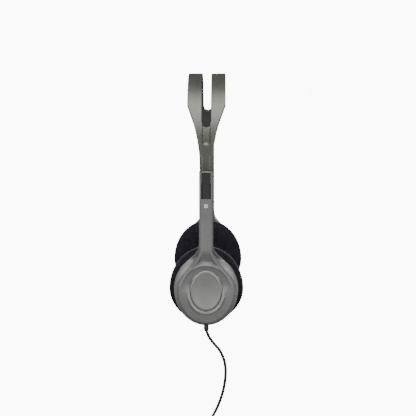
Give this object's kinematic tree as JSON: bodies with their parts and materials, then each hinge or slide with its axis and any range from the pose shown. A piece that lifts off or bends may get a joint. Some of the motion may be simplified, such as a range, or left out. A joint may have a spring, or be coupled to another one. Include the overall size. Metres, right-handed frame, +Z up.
{
  "type": "office headset",
  "caption": "Light wired headset with a slotted headband, sliding arms, tilting foam ear pads, a swinging microphone boom and a plug on its cord.",
  "frame": {"origin": "middle of the headband's underside at the crown, where the wearer's head holds it", "axes": "+Z up, the wearer faces -X, the left ear with the cord is at -Y and the right ear with the microphone boom at +Y"},
  "size_m": [0.0554, 0.1554, 0.3266],
  "materials": {
    "band_plastic": "satin",
    "band_lining": "matt",
    "wire_jacket": "satin",
    "arm_plastic": "satin",
    "cap_plastic": "satin",
    "boom_plastic": "satin",
    "cord_rubber": "matt",
    "cord_jacket": "satin",
    "tie_strap": "matt",
    "plug_rubber": "satin",
    "plug_metal": "polished",
    "plug_insulation": "satin",
    "can_metal": "satin",
    "pin_steel": "satin",
    "tongue_steel": "satin",
    "lid_plastic": "satin",
    "clip_nylon": "satin",
    "marker_plastic": "gloss",
    "foam": "matt open-cell foam",
    "housing_plastic": "satin",
    "frame_steel": "satin",
    "magnet_steel": "satin",
    "film": "satin",
    "cloth": "matt"
  },
  "bodies": {
    "headband": {"headband_shell": "band_plastic", "headband_liner": "band_lining", "cross_wire": "wire_jacket", "left_slider_tongue": "tongue_steel", "right_slider_tongue": "tongue_steel", "left_tongue_rivet": "pin_steel", "right_tongue_rivet": "pin_steel"},
    "left_arm": {"left_arm_shell": "arm_plastic", "left_arm_lid": "lid_plastic", "left_lid_screw": "pin_steel", "left_detent_clip": "clip_nylon", "left_marker": "marker_plastic", "left_ear_cap": "cap_plastic", "left_pivot_pins": "pin_steel", "strain_relief": "cord_rubber", "cord_lead": "cord_jacket", "cord_coil": "cord_jacket", "cord_tie": "tie_strap", "cord_tail": "cord_jacket", "plug_body": "plug_rubber", "plug_sleeve": "plug_metal", "plug_rings": "plug_metal", "plug_insulators": "plug_insulation", "plug_tip": "plug_metal"},
    "right_arm": {"right_arm_shell": "arm_plastic", "right_arm_lid": "lid_plastic", "right_lid_screw": "pin_steel", "right_detent_clip": "clip_nylon", "right_marker": "marker_plastic", "right_pivot_pins": "pin_steel"},
    "left_cup": {"left_foam_cushion": "foam", "left_baffle": "housing_plastic", "left_speaker_housing": "housing_plastic", "left_housing_screws": "pin_steel", "left_driver_frame": "frame_steel", "left_driver_magnet": "magnet_steel", "left_diaphragm": "film", "left_damping_cloth": "cloth"},
    "right_cup": {"right_foam_cushion": "foam", "right_baffle": "housing_plastic", "right_speaker_housing": "housing_plastic", "right_housing_screws": "pin_steel", "right_driver_frame": "frame_steel", "right_driver_magnet": "magnet_steel", "right_diaphragm": "film", "right_damping_cloth": "cloth"},
    "mic_boom": {"boom_arm": "arm_plastic", "mic_cover": "boom_plastic", "mic_capsule": "can_metal", "boom_washer": "pin_steel", "boom_screw": "pin_steel"}
  },
  "joints": [
    {"name": "left_slide", "type": "slide", "parent": "headband", "child": "left_arm", "axis": [0, 0, -1], "range_m": [0, 0.022]},
    {"name": "right_slide", "type": "slide", "parent": "headband", "child": "right_arm", "axis": [0, 0, -1], "range_m": [0, 0.022]},
    {"name": "left_tilt", "type": "hinge", "parent": "left_arm", "child": "left_cup", "pos_m": [0, -0.066, -0.1508], "axis": [1, 0, 0], "range_deg": [-6, 6]},
    {"name": "right_tilt", "type": "hinge", "parent": "right_arm", "child": "right_cup", "pos_m": [0, 0.066, -0.1508], "axis": [1, 0, 0], "range_deg": [-6, 6]},
    {"name": "mic_swing", "type": "hinge", "parent": "right_arm", "child": "mic_boom", "pos_m": [0, 0.075, -0.1508], "axis": [0, 1, 0], "range_deg": [-120, 120]}
  ]
}
